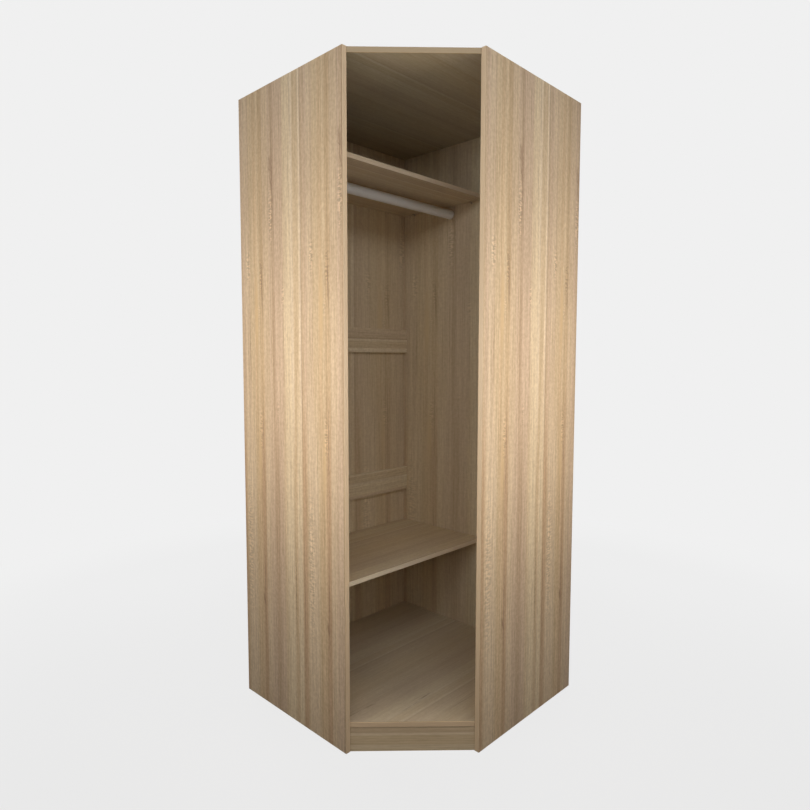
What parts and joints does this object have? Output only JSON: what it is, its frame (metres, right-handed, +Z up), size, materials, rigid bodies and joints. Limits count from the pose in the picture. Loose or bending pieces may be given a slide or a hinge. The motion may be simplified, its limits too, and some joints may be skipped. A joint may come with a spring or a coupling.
{
  "type": "corner wardrobe",
  "caption": "Tall open corner wardrobe with a diagonal front opening, an upper and a lower shelf, a hanging rod and a plinth, in oak-look board.",
  "frame": {"origin": "middle of the square footprint, on the floor", "axes": "+Z up; the corner of the room is towards -X and +Y; -X is the wall behind the back sheet, +Y the wall behind the back board, and the opening faces +X and -Y"},
  "size_m": [0.8, 0.8, 2],
  "materials": {
    "oak_board": "satin",
    "edge_band": "satin",
    "back_sheet": "satin",
    "coated_steel": "satin",
    "grey_plastic": "matte",
    "zinc": "satin",
    "bright_steel": "satin",
    "beech": "matte"
  },
  "bodies": {
    "root": {"left_side_panel": "oak_board", "right_side_panel": "oak_board", "right_back_panel": "oak_board", "top_panel": "oak_board", "bottom_panel": "oak_board", "upper_shelf": "oak_board", "lower_shelf": "oak_board", "upper_back_rail": "oak_board", "lower_back_rail": "oak_board", "front_plinth": "oak_board", "rear_plinth": "oak_board", "left_side_edge_band": "edge_band", "right_side_edge_band": "edge_band", "top_edge_band": "edge_band", "bottom_edge_band": "edge_band", "upper_shelf_edge_band": "edge_band", "lower_shelf_edge_band": "edge_band", "back_sheet": "back_sheet", "hanging_rod": "coated_steel", "left_rod_holder": "grey_plastic", "right_rod_holder": "grey_plastic", "left_rod_screw": "bright_steel", "right_rod_screw": "bright_steel", "top_left_cam_1": "zinc", "top_left_cam_2": "zinc", "top_back_cam_1": "zinc", "top_back_cam_2": "zinc", "top_right_cam_1": "zinc", "top_right_cam_2": "zinc", "bottom_left_cam_1": "zinc", "bottom_left_cam_2": "zinc", "bottom_back_cam_1": "zinc", "bottom_back_cam_2": "zinc", "bottom_right_cam_1": "zinc", "bottom_right_cam_2": "zinc", "top_left_bolt_1": "bright_steel", "top_left_bolt_2": "bright_steel", "top_back_bolt_1": "bright_steel", "top_back_bolt_2": "bright_steel", "top_right_bolt_1": "bright_steel", "top_right_bolt_2": "bright_steel", "bottom_left_bolt_1": "bright_steel", "bottom_left_bolt_2": "bright_steel", "bottom_back_bolt_1": "bright_steel", "bottom_back_bolt_2": "bright_steel", "bottom_right_bolt_1": "bright_steel", "bottom_right_bolt_2": "bright_steel", "corner_dowel_1": "beech", "corner_dowel_2": "beech", "corner_dowel_3": "beech", "upper_shelf_pin_left_rear": "bright_steel", "upper_shelf_pin_left_front": "bright_steel", "upper_shelf_pin_right_rear": "bright_steel", "upper_shelf_pin_right_front": "bright_steel", "lower_shelf_pin_left_rear": "bright_steel", "lower_shelf_pin_left_front": "bright_steel", "lower_shelf_pin_right_rear": "bright_steel", "lower_shelf_pin_right_front": "bright_steel"}
  },
  "joints": []
}
